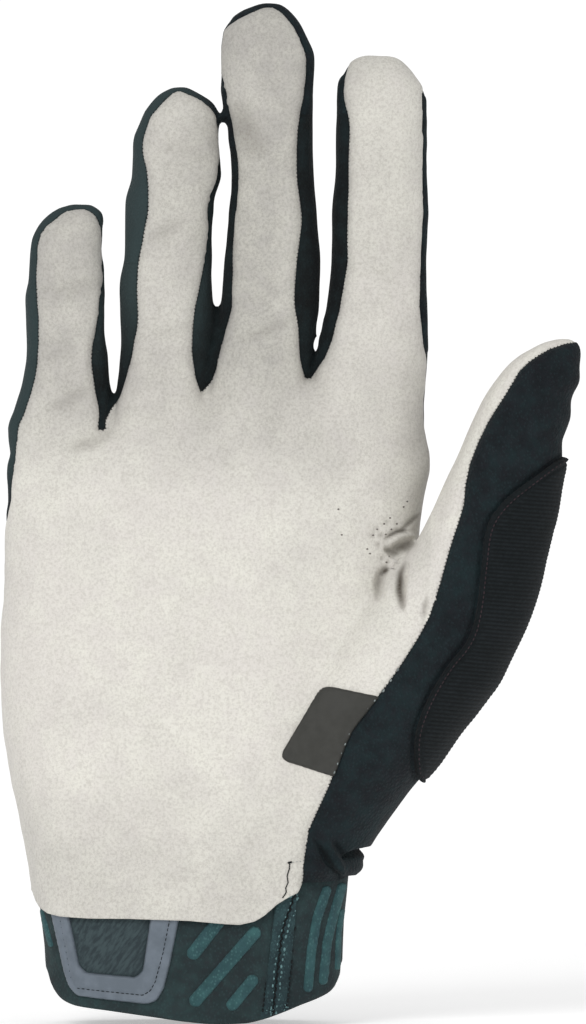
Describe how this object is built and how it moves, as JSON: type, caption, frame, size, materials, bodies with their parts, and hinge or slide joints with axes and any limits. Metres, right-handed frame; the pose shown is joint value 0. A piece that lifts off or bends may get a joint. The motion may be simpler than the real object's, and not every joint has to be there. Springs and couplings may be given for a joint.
{
  "type": "long-fingered cycling glove",
  "caption": "Right-hand long-fingered cycling glove with a pale suede palm, dark knit back, thumb wipe panel and slip-on cuff.",
  "frame": {"origin": "middle of the wrist opening, at the level of the cuff's lowest edge", "axes": "+Z from the wrist to the fingertips, +X to the thumb's side, +Y from the palm to the back of the hand"},
  "size_m": [0.1268, 0.0467, 0.2233],
  "materials": {
    "suede": "pale brushed synthetic suede",
    "knit": "dark teal stretch knit",
    "gusset_knit": "near-black stretch knit",
    "terry": "black ribbed terry",
    "cuff_knit": "dark teal elastic knit",
    "frame_rubber": "matt grey rubber",
    "tape": "teal seam tape",
    "label_rubber": "matt dark grey",
    "stripe_flock": "raised teal flock",
    "thread": "sewing thread"
  },
  "bodies": {
    "root": {"palm_panel": "suede", "back_panel": "knit", "gusset_little_ring": "gusset_knit", "gusset_ring_middle": "gusset_knit", "gusset_middle_index": "gusset_knit", "thumb_panel": "knit", "thumb_wipe": "terry", "cuff_band": "cuff_knit", "cuff_pull_frame": "frame_rubber", "cuff_seam_tape": "tape", "palm_label": "label_rubber"}
  },
  "joints": []
}
